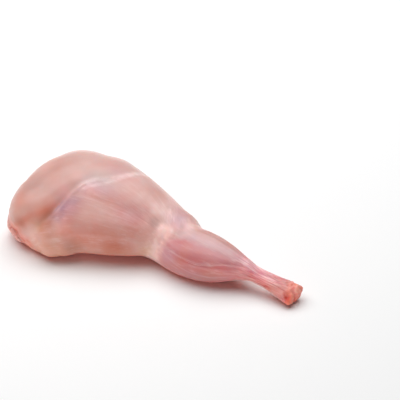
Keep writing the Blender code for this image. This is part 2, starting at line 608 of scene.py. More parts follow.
@dataclass(frozen=True)
class Relief:
    """Heights, in millimetres, by which the flesh stands over the plain solid."""

    above_floor: Fade = Fade(0.3, 3.5)
    swell: Speckle = Speckle(20.0, 3.0, 0.22)
    rump_calm: float = 0.7
    fibre: float = 0.13
    fibre_least: float = 0.25
    fibre_thigh: float = 0.75
    fibre_shank: float = 0.35
    low_thigh: Fade = Fade(38, 18)
    coarse_ridges: Speckle = Speckle(2.4, 11.0)
    fine_ridges: Speckle = Speckle(1.2, 5.0, 0.5)
    furrow_step: Stripe = Stripe(-0.45, 1.5, -1.7)
    furrow_floor: Stripe = Stripe(0.3, 4.0)
    furrow_valley: Span = Span(0.05, 0.25, 0.34, 0.52)
    upper_band: Stripe = Stripe(0.22, 1.1)
    lower_band: Stripe = Stripe(0.11, 0.9)
    knee_groove: Stripe = Stripe(-0.12, 1.4, 1.0)
    knee_folds: Stripe = Stripe(0.3, 6.0)
    knee_crumple: Speckle = Speckle(3.0, 7.0)
    knee_near_side: Span = Span(-70, -40, 30, 70)
    knee_seam: Stripe = Stripe(0.1, 1.6, 2.0)
    knee_seam_top: Fade = Fade(34, 29)
    septum: Stripe = Stripe(-0.32, 0.7)
    belly: Stripe = Stripe(0.2, 1.8, 2.6)
    ankle_slimmer: float = 0.2
    ankle_waist: Stripe = Stripe(-0.9, 9.0, 76.0)
    ankle_near_side: Fade = Fade(10, -30)
    before_cut: Fade = Fade(99.5, 95.0)
    hock_knob: Stripe = Stripe(0.5, 4.0, 96.5)
    hock_start: Fade = Fade(88, 97)
    hock_coarse: Speckle = Speckle(3.6, 21.0, 0.5)
    hock_fine: Speckle = Speckle(1.6, 23.0, 0.3)
    lip_reach: float = 7.0
    lip_top: Fade = Fade(30, 20)
    lip_crease: Stripe = Stripe(-0.8, 0.9)
    lip_crease_start: Fade = Fade(0.0, 0.15)
    lip_torn: Speckle = Speckle(3.4, 31.0, 0.7)

    def height(self, leg: Surface, fibres: np.ndarray) -> np.ndarray:
        """Add up the relief of every region.

        Args:
            leg: The surface, as read by the anatomy.
            fibres: Coordinates across and along the fibres.

        Returns:
            The height at each point.
        """
        total = self.swell.read(leg.places) * (1 - self.rump_calm * leg.rump)
        total += self.fibres(leg, fibres)
        total += self.furrow(leg)
        total += self.knee(leg)
        total += self.shank(leg)
        total += self.ankle(leg)
        total += self.hock(leg)
        total += self.lip(leg)
        total += effects(HIP_FORMS, leg.places)
        return total * self.above_floor.share(leg.z)

    def fibres(self, leg: Surface, fibres: np.ndarray) -> np.ndarray:
        """Raise fine ridges along the muscle fibres, strongest low on the thigh.

        Args:
            leg: The surface, as read by the anatomy.
            fibres: Coordinates across and along the fibres.

        Returns:
            The height at each point.
        """
        low_thigh = leg.thigh * self.low_thigh.share(leg.z)
        strength = self.fibre_least + self.fibre_thigh * low_thigh + self.fibre_shank * leg.shank
        ridges = self.coarse_ridges.read(fibres) + self.fine_ridges.read(fibres)
        return self.fibre * strength * ridges * leg.calm

    def furrow(self, leg: Surface) -> np.ndarray:
        """Step down at the thigh's edge along the furrow, and raise the pale bands after it.

        Args:
            leg: The surface, as read by the anatomy.

        Returns:
            The height at each point.
        """
        step = self.furrow_step.effect(leg.furrow) + self.furrow_floor.effect(leg.furrow)
        upper = self.upper_band.effect(leg.furrow) * PALE_BAND.share(leg.furrow_along)
        lower = self.lower_band.effect(leg.band)
        return step * self.furrow_valley.share(leg.furrow_along) + upper + lower

    def knee(self, leg: Surface) -> np.ndarray:
        """Sink a shallow groove down the knee's near side, and raise the tissue round it.

        Args:
            leg: The surface, as read by the anatomy.

        Returns:
            The height at each point.
        """
        folds = self.knee_folds.effect(leg.past_knee) * self.knee_crumple.read(leg.places)
        groove = self.knee_groove.effect(leg.past_knee)
        seam = self.knee_seam.effect(leg.knee) * self.knee_seam_top.share(leg.z)
        near_side = self.knee_near_side.share(leg.angle)
        return (groove + folds) * near_side + seam + effects(KNEE_PADS, leg.places)

    def shank(self, leg: Surface) -> np.ndarray:
        """Sink grooves between the shank's muscles, and raise the muscles' crowns beside them.

        Args:
            leg: The surface, as read by the anatomy.

        Returns:
            The height at each point.
        """
        total = np.zeros(len(leg.x))
        for seam in (MUSCLE_TOP, *PALE_SEPTA):
            apart = leg.from_seam(seam)
            line = self.septum.effect(apart) + self.belly.effect(np.abs(apart))
            total += line * seam.shown(leg.x) * seam.groove
        return total * leg.shank

    def ankle(self, leg: Surface) -> np.ndarray:
        """Raise the tendons along the ankle, slim it between them, and draw in its near side.

        Args:
            leg: The surface, as read by the anatomy.

        Returns:
            The height at each point.
        """
        tendons = sum(tendon.effect(leg.angle, leg.radius) for tendon in ANKLE_TENDONS)
        waist = self.ankle_waist.effect(leg.x) * self.ankle_near_side.share(leg.angle)
        return (tendons - self.ankle_slimmer) * leg.ankle * self.before_cut.share(leg.x) + waist

    def hock(self, leg: Surface) -> np.ndarray:
        """Thicken the lumpy end where the hock is cut through.

        Args:
            leg: The surface, as read by the anatomy.

        Returns:
            The height at each point.
        """
        rough = self.hock_coarse.read(leg.places) + self.hock_fine.read(leg.places)
        knob = self.hock_knob.effect(leg.x) * self.before_cut.share(leg.x)
        return rough * self.hock_start.share(leg.x) + knob + effects(HOCK_ENDS, leg.places)

    def lip(self, leg: Surface) -> np.ndarray:
        """Fold the lip at the hip's cut, and tear the tissue round it.

        Args:
            leg: The surface, as read by the anatomy.

        Returns:
            The height at each point.
        """
        near = hump(leg.fold, self.lip_reach) * self.lip_top.share(leg.z)
        crease = self.lip_crease.effect(leg.fold) * self.lip_crease_start.share(leg.fold_along)
        return (crease + self.lip_torn.read(leg.places)) * near


@dataclass(frozen=True)
class Threads:
    """Whitish fibrous tissue over the flesh: where it lies, and which way its threads run."""

    ridges: Speckle = Speckle(1.3, 17.0, 0.14)
    upper_band: Stripe = Stripe(0.5, 1.2, 0.2)
    beside_band: Stripe = Stripe(0.12, 3.0, 2.5)
    lower_band: Stripe = Stripe(0.35, 1.0)
    lower_band_end: Fade = Fade(0.95, 0.7)
    knee_seam: Stripe = Stripe(0.6, 1.6, 0.5)
    knee_seam_top: Fade = Fade(38, 30)
    knee_fan: Stripe = Stripe(0.25, 5.0, -3.0)
    knee_fan_foot: Fade = Fade(20, 27)
    knee_near_side: Fade = Fade(-75, -40)
    kneecap: Stripe = Stripe(0.5, 1.1)
    ankle_tendon: Stripe = Stripe(0.75, 3.2)
    ankle_veil: float = 0.1
    ankle_radius: float = 6.0
    ankle_from: float = 40.0
    band_stretch: float = 18.0
    knee_stretch: float = 7.0
    ankle_stretch: float = 0.12
    knee_apart: float = 60.0
    ankle_apart: float = 160.0

    def share(self, leg: Surface) -> np.ndarray:
        """Share of the surface that the tissue hides."""
        return np.clip(self.fascia(leg) + self.knee(leg) + self.ankle(leg), 0.0, 1.0)

    def fascia(self, leg: Surface) -> np.ndarray:
        """Lay two bands that part from the furrow's upper end and run to the kneecap side.

        Args:
            leg: The surface, as read by the anatomy.

        Returns:
            Share of the tissue at each point.
        """
        upper = self.upper_band.effect(leg.furrow) + self.beside_band.effect(leg.furrow)
        lower = self.lower_band.effect(leg.band) * self.lower_band_end.share(leg.band_along)
        return upper * PALE_BAND.share(leg.furrow_along) + lower

    def knee(self, leg: Surface) -> np.ndarray:
        """Lay a seam down the knee's near side, and threads round the kneecap.

        Args:
            leg: The surface, as read by the anatomy.

        Returns:
            Share of the tissue at each point.
        """
        seam = self.knee_seam.effect(leg.knee) * self.knee_seam_top.share(leg.z)
        fan = self.knee_fan.effect(leg.knee) * self.knee_fan_foot.share(leg.z)
        return (seam + fan) * self.knee_near_side.share(leg.angle) + self.kneecap.effect(leg.cap)

    def ankle(self, leg: Surface) -> np.ndarray:
        """Lay a broad flat tendon over the ankle's near top, and a thin veil all round.

        Args:
            leg: The surface, as read by the anatomy.

        Returns:
            Share of the tissue at each point.
        """
        tendon = self.ankle_tendon.effect(leg.from_seam(ANKLE_TENDON)) * ANKLE_TENDON.shown(leg.x)
        return tendon + self.ankle_veil * leg.ankle

    def coordinates(self, leg: Surface) -> np.ndarray:
        """Work out coordinates that change quickly across the threads and slowly along them.

        Args:
            leg: The surface, as read by the anatomy.

        Returns:
            Three coordinates for each point, far apart for the bands, the knee and the ankle.
        """
        flat = np.zeros(len(leg.x))
        bands = np.stack([leg.furrow, self.band_stretch * leg.furrow_along, flat], axis=1)
        down_knee = self.knee_stretch * leg.knee_along + self.knee_apart
        knee = np.stack([leg.knee, down_knee, flat], axis=1)
        turn = np.radians(leg.angle)
        round_ankle = self.ankle_radius * np.stack([np.cos(turn), np.sin(turn)])
        down_ankle = self.ankle_stretch * leg.x + self.ankle_apart
        ankle = np.stack([*round_ankle, down_ankle], axis=1)
        at_knee = (np.abs(leg.knee) < np.abs(leg.furrow))[:, None]
        at_ankle = (leg.x > self.ankle_from)[:, None]
        return np.where(at_ankle, ankle, np.where(at_knee, knee, bands))

    def height(self, leg: Surface) -> np.ndarray:
        """Fine ridges along the threads, in millimetres."""
        return self.share(leg) * self.ridges.read(self.coordinates(leg))


# ---------------------------------------------------------------- tones of the flesh


@dataclass(frozen=True)
class Tones:
    """Shares of each tint over the surface, painted on as attributes of the mesh."""

    # Painted sheen: the far side of the thigh and rump is painted lighter and paler, as where light
    # grazes it.
    far_sheen_strength: float = 0.2
    far_side: Fade = Fade(4, 24)
    shank_least: float = 0.25
    shank_top: Fade = Fade(2.6, -1.6)
    shank_far: Fade = Fade(120, 150)
    tendon_start: Fade = Fade(52, 72)
    # Painted shade: the rump's roll into the furrow and the low near thigh are painted deeper red.
    roll_shade: Stripe = Stripe(0.72, 3.4, 0.5)
    roll_end: Fade = Fade(1.0, 0.7)
    roll_edge: Fade = Fade(0.4, -0.4)
    low_thigh_shade: Blob = Blob((-16, -29, 21), (24, 14, 9), 0.5)
    shank_blush: Stripe = Stripe(0.2, 3.0, -3.0)
    shank_blush_along: Span = Span(20, 30, 50, 60)
    ankle_blush: Stripe = Stripe(0.3, 2.2)
    ankle_blush_start: Fade = Fade(38, 50)
    knee_fat: Stripe = Stripe(1.0, 6.0, -0.5)
    knee_fat_round: Span = Span(-60, -20, 130, 170)
    knee_fat_patches: Speckle = Speckle(3.5, 71.0, 0.2, 0.75)
    seam_fat: Stripe = Stripe(0.6, 3.5)
    seam_fat_top: Fade = Fade(36, 24)
    seam_fat_patches: Speckle = Speckle(3.5, 71.0, 0.4, 0.6)
    hollow_fat: Blob = Blob((-63, -41, 18), (7, 5, 6), 0.6)
    pad_fat: float = 0.7
    upper_silver: Stripe = Stripe(0.5, 1.8, 0.3)
    upper_silver_along: Span = Span(0.42, 0.6, 0.9, 1.0)
    lower_silver: Stripe = Stripe(0.5, 1.2)
    band_patches: Speckle = Speckle(4.0, 41.0, 0.45, 0.95)
    edge_silver: Stripe = Stripe(0.2, 0.8, 1.1)
    edge_silver_start: Fade = Fade(0.12, 0.3)
    knee_patches: Speckle = Speckle(4.0, 41.0, 0.45, 0.55)
    knee_silver: Stripe = Stripe(0.45, 3.5, 1.5)
    knee_silver_round: Span = Span(-50, -10, 45, 75)
    knee_veil: Blob = Blob((2, 2, 33), (14, 12, 9), 0.4)
    # Painted sheen: a pale band along the shank's top, over its membrane.
    shank_top_sheen: Stripe = Stripe(0.08, 3.2, 3.5)
    shank_top_sheen_along: Span = Span(20, 36, 58, 82)
    septum_silver: Stripe = Stripe(0.3, 0.45)
    kneecap_lilac: Blob = Blob((17, 6, 29), (8, 7, 7), 0.6)
    lilac_patches: Speckle = Speckle(5.0, 61.0, 0.35, 0.75)
    shank_haze: Blob = Blob((20, -19.5, 17), (6, 4, 4), 0.5)
    # Painted sheen: lilac along the shank's top, over its membrane.
    shank_top_lilac_sheen: Stripe = Stripe(0.45, 4.5, 3.5)
    shank_top_lilac_sheen_along: Span = Span(16, 30, 56, 74)
    # Painted shade along the furrow: darker purple on the thigh's side, and a dark line at its bottom.
    furrow_side_shade: Stripe = Stripe(0.78, 6.0, 4.0)
    furrow_side_shade_along: Span = Span(0.22, 0.31, 0.42, 0.66)
    furrow_shade_edge: Fade = Fade(0.3, 1.3)
    furrow_shade_patches: Speckle = Speckle(5.0, 61.0, 0.3, 0.8)
    furrow_line: Stripe = Stripe(0.8, 0.9, -0.2)
    furrow_line_along: Span = Span(0.22, 0.36, 0.36, 0.50)
    lobe_peach: Blob = Blob((-55, -38, 12), (14, 12, 14), 0.9)
    flank_peach: Blob = Blob((-76, -34, 27), (8, 8, 8), 0.3)
    # Painted shade: the low thigh painted ochre, more so lower down.
    low_thigh_peach_shade: float = 0.5
    thigh_peach_top: Fade = Fade(24, 8)
    # Painted shade and pooled blood: deep red where the flesh faces down and along its edge on the
    # floor.
    facing_down: Fade = Fade(-0.45, -0.9)
    floor_contact_shade: float = 0.7
    floor_edge: Fade = Fade(3.0, 0.5)
    hock_cut: Fade = Fade(92.0, 99.5)
    hock_cut_wander: Speckle = Speckle(4.0, 51.0, 1.5)
    lip_cut: Stripe = Stripe(0.5, 5.0, -1.5)
    lip_cut_top: Fade = Fade(26, 14)
    hip_cut: float = 0.5
    hip_cut_start: Fade = Fade(-80, -88)
    hip_cut_top: Fade = Fade(16, 6)
    # Painted shade: deep red along the lip's crease.
    crease_shade: Stripe = Stripe(0.75, 0.7)
    crease_start: Fade = Fade(0.0, 0.15)
    crease_top: Fade = Fade(24, 18)
    blood_spots: tuple[Blob, ...] = (
        Blob((96.8, -12.6, 7.0), (2.6, 2.1, 2.2), 0.9),
        Blob((100, -8.2, 6.0), (3.0, 1.2, 3.0), 0.35),
        Blob((71.5, -9.5, 13), (2.2, 1.4, 1.4), 0.4),
    )

    def paint(self, leg: Surface) -> dict[str, np.ndarray]:
        """Work out every tint.

        Args:
            leg: The surface, as read by the anatomy.

        Returns:
            Shares from 0 to 1 by the attribute's name.
        """
        # Painted sheen: the far side lighter and paler.
        far = self.far_sheen_strength * self.far_side.share(leg.places[:, 1]) * (1 - leg.shank)
        tints = {
            "shank": self.shank(leg),
            "thigh": leg.thigh,
            "calm": leg.calm,
            "blush_and_shade": self.blush_and_shade(leg),
            "pale": self.pale(leg),
            "silver_and_sheen": self.silver_and_sheen(leg),
            "light": self.patches(leg, "light") + far,
            "colourful": self.patches(leg, "colour") - far,
            "warmth": self.patches(leg, "warmth"),
            "furrow_shade": self.furrow_shade(leg),
            "lilac_and_sheen": self.lilac_and_sheen(leg),
            "peach_and_shade": self.peach_and_shade(leg),
            "tendon": self.tendon_start.share(leg.x),
            "under": self.under(leg),
            "cut": self.cut(leg),
            "blood": self.blood(leg),
        }
        return {name: np.clip(share, 0.0, 1.0) for name, share in tints.items()}

    def shank(self, leg: Surface) -> np.ndarray:
        """Lay the dark pink muscle of the shank, which stops below the pale tissue on top.

        Args:
            leg: The surface, as read by the anatomy.

        Returns:
            Share of the tint at each point.
        """
        below = self.shank_top.share(leg.from_seam(MUSCLE_TOP))
        muscle = np.maximum(below, self.shank_far.share(leg.angle))
        return leg.shank * (self.shank_least + (1 - self.shank_least) * muscle)

    def patches(self, leg: Surface, field: str) -> np.ndarray:
        """Sum of one field of all the patches, moved from -1 to 1 onto 0 to 1."""
        return 0.5 + 0.5 * sum(getattr(patch, field) * patch.share(leg.places) for patch in PATCHES)

    def blush_and_shade(self, leg: Surface) -> np.ndarray:
        """Paint shade as deeper red on the rump's roll into the furrow and on the low near thigh, and
        redden the shank and the ankle.

        Args:
            leg: The surface, as read by the anatomy.

        Returns:
            Share of the tint at each point.
        """
        roll = self.roll_shade.effect(leg.roll) * self.roll_end.share(leg.roll_along)
        middle = self.shank_blush.effect(leg.from_seam(UPPER_SEPTUM))
        middle *= self.shank_blush_along.share(leg.x)
        streak = self.ankle_blush.effect(leg.from_seam(ANKLE_SEPTUM))
        streak *= self.ankle_blush_start.share(leg.x)
        thigh = self.low_thigh_shade.effect(leg.places) * leg.thigh
        return roll * self.roll_edge.share(leg.furrow) + thigh + (middle + streak) * leg.shank

    def pale(self, leg: Surface) -> np.ndarray:
        """Lay pale fatty tissue round the knee, and in the hollow where the furrow starts.

        Args:
            leg: The surface, as read by the anatomy.

        Returns:
            Share of the tint at each point.
        """
        knee = self.knee_fat.effect(leg.past_knee) * self.knee_fat_patches.read(leg.places)
        seam = self.seam_fat.effect(leg.knee) * self.seam_fat_patches.read(leg.places)
        seam *= self.seam_fat_top.share(leg.z)
        pads = self.pad_fat * sum(pad.share(leg.places) for pad in KNEE_PADS)
        hollow = self.hollow_fat.effect(leg.places)
        return knee * self.knee_fat_round.share(leg.angle) + seam + hollow + pads

    def silver_and_sheen(self, leg: Surface) -> np.ndarray:
        """Lay whitish membrane on the pale bands, the knee and the shank's seams, and painted sheen of
        the membrane along the shank's top.

        Args:
            leg: The surface, as read by the anatomy.

        Returns:
            Share of the tint at each point.
        """
        upper = self.upper_silver.effect(leg.furrow) * self.upper_silver_along.share(leg.furrow_along)
        bands = upper + self.lower_silver.effect(leg.band)
        bands *= self.band_patches.read(leg.places)
        edge = self.edge_silver.effect(leg.furrow) * self.edge_silver_start.share(leg.furrow_along)
        knee = self.knee_silver.effect(leg.past_knee) * self.knee_silver_round.share(leg.angle)
        knee = (knee + self.knee_veil.effect(leg.places)) * self.knee_patches.read(leg.places)
        top = self.shank_top_sheen.effect(leg.from_seam(MUSCLE_TOP)) * self.shank_top_sheen_along.share(leg.x)
        lines = [
            self.septum_silver.effect(leg.from_seam(seam)) * seam.shown(leg.x) for seam in PALE_SEPTA
        ]
        shank = (top + np.max(lines, axis=0)) * leg.shank
        return bands + edge * (1 - leg.shank) + knee + shank

    def lilac_and_sheen(self, leg: Surface) -> np.ndarray:
        """Lay a bluish tint where a membrane covers dark muscle, and painted lilac sheen along the
        shank's top.

        Args:
            leg: The surface, as read by the anatomy.

        Returns:
            Share of the tint at each point.
        """
        kneecap = self.kneecap_lilac.effect(leg.places) * self.lilac_patches.read(leg.places)
        top = self.shank_top_lilac_sheen.effect(leg.from_seam(MUSCLE_TOP)) * self.shank_top_lilac_sheen_along.share(leg.x)
        return kneecap + (self.shank_haze.effect(leg.places) + top) * leg.shank

    def furrow_shade(self, leg: Surface) -> np.ndarray:
        """Paint shade along the furrow: darker purple on the thigh's side, and a dark line at its
        bottom.

        Args:
            leg: The surface, as read by the anatomy.

        Returns:
            Share of the tint at each point.
        """
        beside = self.furrow_side_shade.effect(leg.furrow) * self.furrow_shade_edge.share(leg.furrow)
        beside *= self.furrow_shade_patches.read(leg.places)
        bottom = self.furrow_line.effect(leg.furrow) * self.furrow_line_along.share(leg.furrow_along)
        return beside * self.furrow_side_shade_along.share(leg.furrow_along) + bottom

    def peach_and_shade(self, leg: Surface) -> np.ndarray:
        """Lay an ochre tint on the lobe over the seat bone and on the flank, and paint shade as ochre
        on the low thigh.

        Args:
            leg: The surface, as read by the anatomy.

        Returns:
            Share of the tint at each point.
        """
        lobe = self.lobe_peach.effect(leg.places)
        flank = self.flank_peach.effect(leg.places)
        return lobe + flank + self.low_thigh_peach_shade * leg.thigh * self.thigh_peach_top.share(leg.z)

    def under(self, leg: Surface) -> np.ndarray:
        """Deep red of the underside and of the edge that touches the floor: pooled blood, and painted
        shade where the leg turns under and meets the floor.
        """
        facing_down = self.facing_down.share(leg.normals[:, 2])
        return np.maximum(facing_down, self.floor_contact_shade * self.floor_edge.share(leg.z))

    def cut(self, leg: Surface) -> np.ndarray:
        """Lay raw coral red on the cut hock, and on the torn lip at the hip.

        Args:
            leg: The surface, as read by the anatomy.

        Returns:
            Share of the tint at each point.
        """
        hock = self.hock_cut.share(leg.x + self.hock_cut_wander.read(leg.places))
        lip = self.lip_cut.effect(leg.fold) * self.lip_cut_top.share(leg.z)
        hip = self.hip_cut * self.hip_cut_start.share(leg.x) * self.hip_cut_top.share(leg.z)
        return hock + lip + hip

    def blood(self, leg: Surface) -> np.ndarray:
        """Paint shade as deep red in the lip's crease, and lay dark red in the pit of the hock and on
        the ankle.

        Args:
            leg: The surface, as read by the anatomy.

        Returns:
            Share of the tint at each point.
        """
        crease = self.crease_shade.effect(leg.fold) * self.crease_start.share(leg.fold_along)
        return crease * self.crease_top.share(leg.z) + effects(self.blood_spots, leg.places)


@dataclass(frozen=True)
class Fibres:
    """Directions of the muscle fibres, as rays from a focus for each region."""

    thigh_focus: Place = (36.0, -16.0, 16.0)
    rump_focus: Place = (-10.0, 70.0, 10.0)
    spread: float = 55.0
    stretch: float = 0.14
    slant: Place = (1.0, 0.6, 0.8)
    apart: float = 200.0
    shank_radius: float = 9.0
    shank_twist: float = 0.25

    def coordinates(self, leg: Surface) -> np.ndarray:
        """Work out coordinates that change quickly across the fibres and slowly along them.

        Args:
            leg: The surface, as read by the anatomy.

        Returns:
            Three coordinates for each point, far apart for the thigh, the rump and the shank.
        """
        thigh = self.rays(leg.places, self.thigh_focus)
        rump = self.rays(leg.places, self.rump_focus) + self.apart
        turn = np.radians(leg.angle + self.shank_twist * leg.x)
        round_shank = self.shank_radius * np.stack([np.cos(turn), np.sin(turn)])
        shank = np.stack([*round_shank, leg.x * self.stretch], axis=1) + 2 * self.apart
        on_shank = (leg.past_knee > 0)[:, None]
        on_rump = (leg.rump > 0.5)[:, None]
        return np.where(on_shank, shank, np.where(on_rump, rump, thigh))

    def rays(self, places: np.ndarray, focus: Place) -> np.ndarray:
        """Read a fan of fibres that all run to one focus.

        Args:
            places: Points of the layout, one a row.
            focus: Where the fibres meet.

        Returns:
            Three coordinates for each point.
        """
        offset = places - np.array(focus)
        reach = np.linalg.norm(offset, axis=1, keepdims=True)
        return offset / reach * self.spread + np.array(self.slant) * reach * self.stretch


# ---------------------------------------------------------------- finishes


class Way(Enum):
    """Ways to combine two numbers in a material."""

    PLUS = "ADD"
    LESS = "SUBTRACT"
    TIMES = "MULTIPLY"


@dataclass(frozen=True)
class Ramp:
    """A smooth change between two results, as a value goes from low to high."""

    low: float
    high: float
    to_low: float
    to_high: float


@dataclass(frozen=True)
class Grain:
    """Noise of a material: its cells per unit, its octaves and the share of each finer octave."""

    scale: float
    detail: float = 3.0
    roughness: float = 0.55


@dataclass(frozen=True)
class Bump:
    """Unevenness of a material: its height in metres, and how strongly it shows."""

    height: float
    strength: float


class Graph:
    """The nodes of one material, laid down by short calls."""

    # Sockets of the Mix node that hold colours.
    COLOUR_BELOW = 6
    COLOUR_ABOVE = 7
    MIXED_COLOUR = 2

    # Attributes that change a colour, and the socket that each one feeds.
    CHANGES = (
        ("light", "Value", Ramp(0.0, 1.0, 0.78, 1.22)),
        ("colourful", "Saturation", Ramp(0.0, 1.0, 0.70, 1.30)),
        ("warmth", "Hue", Ramp(0.0, 1.0, 0.467, 0.533)),
    )

    def __init__(self, name: str) -> None:
        """Start a material with its shader.

        Args:
            name: The material's name.
        """
        self.material = bpy.data.materials.new(name)
        self.material.use_nodes = True
        self.nodes = self.material.node_tree.nodes
        self.links = self.material.node_tree.links
        self.shader = self.nodes["Principled BSDF"]

    def feed(self, socket: bpy.types.NodeSocket, value: object) -> None:
        """Link a socket to another, or set its own value.

        Args:
            socket: The socket to feed.
            value: Another socket, or a value of the socket's own kind.
        """
        if isinstance(value, bpy.types.NodeSocket):
            self.links.new(value, socket)
        else:
            socket.default_value = value

    def attribute(self, name: str) -> bpy.types.NodeSocket:
        """Read a share that is painted on the mesh.

        Args:
            name: The attribute's name.

        Returns:
            The socket with the share.
        """
        node = self.nodes.new("ShaderNodeAttribute")
        node.attribute_name = name
        return node.outputs["Fac"]

    def directions(self, name: str) -> bpy.types.NodeSocket:
        """Read coordinates that are painted on the mesh.

        Args:
            name: The attribute's name.

        Returns:
            The socket with the coordinates.
        """
        node = self.nodes.new("ShaderNodeAttribute")
        node.attribute_name = name
        return node.outputs["Vector"]

    def place(self) -> bpy.types.NodeSocket:
        """Object coordinates, in metres."""
        return self.nodes.new("ShaderNodeTexCoord").outputs["Object"]

    def noise(self, where: bpy.types.NodeSocket, grain: Grain) -> bpy.types.NodeSocket:
        """Noise from 0 to 1.

        Args:
            where: Coordinates to read it at.
            grain: How fine and how rough it is.

        Returns:
            The socket with the noise.
        """
        node = self.nodes.new("ShaderNodeTexNoise")
        self.feed(node.inputs["Vector"], where)
        node.inputs["Scale"].default_value = grain.scale
        node.inputs["Detail"].default_value = grain.detail
        node.inputs["Roughness"].default_value = grain.roughness
        return node.outputs["Fac"]

    def remap(self, value: bpy.types.NodeSocket, ramp: Ramp) -> bpy.types.NodeSocket:
        """Map one range of a value onto another, smoothly and clamped.

        Args:
            value: The socket with the value.
            ramp: The two ranges. A high end below the low end turns the value round.

        Returns:
            The socket with the result.
        """
        node = self.nodes.new("ShaderNodeMapRange")
        node.interpolation_type = "SMOOTHSTEP"
        self.feed(node.inputs["Value"], value)
        node.inputs["From Min"].default_value = ramp.low
        node.inputs["From Max"].default_value = ramp.high
        node.inputs["To Min"].default_value = ramp.to_low
        node.inputs["To Max"].default_value = ramp.to_high
        return node.outputs["Result"]

    def combine(self, way: Way, first: object, second: object) -> bpy.types.NodeSocket:
        """Add, subtract or multiply two numbers.

        Args:
            way: How they are combined.
            first: The first number, or a socket with it.
            second: The second number, or a socket with it.

        Returns:
            The socket with the result.
        """
        node = self.nodes.new("ShaderNodeMath")
        node.operation = way.value
        self.feed(node.inputs[0], first)
        self.feed(node.inputs[1], second)
        return node.outputs[0]

    def calmed(self, noise_socket: bpy.types.NodeSocket) -> bpy.types.NodeSocket:
        """Noise that fades to its middle where the painted calm is low."""
        swing = self.combine(Way.LESS, noise_socket, 0.5)
        return self.combine(Way.PLUS, self.combine(Way.TIMES, swing, self.attribute("calm")), 0.5)

    def blend(self, share: object, first: object, second: object) -> bpy.types.NodeSocket:
        """Mix two colours by a share.

        Args:
            share: How much of the second colour there is.
            first: The colour below.
            second: The colour on top.

        Returns:
            The socket with the mixed colour.
        """
        node = self.nodes.new("ShaderNodeMix")
        node.data_type = "RGBA"
        self.feed(node.inputs["Factor"], share)
        self.feed(node.inputs[self.COLOUR_BELOW], first)
        self.feed(node.inputs[self.COLOUR_ABOVE], second)
        return node.outputs[self.MIXED_COLOUR]

    def varied(self, colour: bpy.types.NodeSocket) -> bpy.types.NodeSocket:
        """Change a colour by the painted light, colourfulness and warmth, 0.5 being no change.

        Args:
            colour: The colour.

        Returns:
            The socket with the changed colour.
        """
        node = self.nodes.new("ShaderNodeHueSaturation")
        self.feed(node.inputs["Color"], colour)
        for name, socket, ramp in self.CHANGES:
            self.feed(node.inputs[socket], self.remap(self.attribute(name), ramp))
        return node.outputs["Color"]

    def bump(
        self, height: bpy.types.NodeSocket, bump: Bump, over: object = None, painted: str = ""
    ) -> bpy.types.NodeSocket:
        """Raise the surface by a height.

        Args:
            height: The height, from 0 to 1.
            bump: How high and how strong it is.
            over: Another bump's normal to add to.
            painted: An attribute that limits the bump to where it is painted.

        Returns:
            The socket with the normal.
        """
        strength = bump.strength
        if painted:
            strength = self.combine(Way.TIMES, self.attribute(painted), bump.strength)
        node = self.nodes.new("ShaderNodeBump")
        node.inputs["Distance"].default_value = bump.height
        self.feed(node.inputs["Strength"], strength)
        self.feed(node.inputs["Height"], height)
        if over is not None:
            self.feed(node.inputs["Normal"], over)
        return node.outputs["Normal"]

    def finish(self, **values: object) -> bpy.types.Material:
        """Feed the shader's sockets.

        Args:
            **values: Values or sockets by the shader's own socket names, with _ for a space.

        Returns:
            The finished material.
        """
        for name, value in values.items():
            self.feed(self.shader.inputs[name.replace("_", " ")], value)
        return self.material


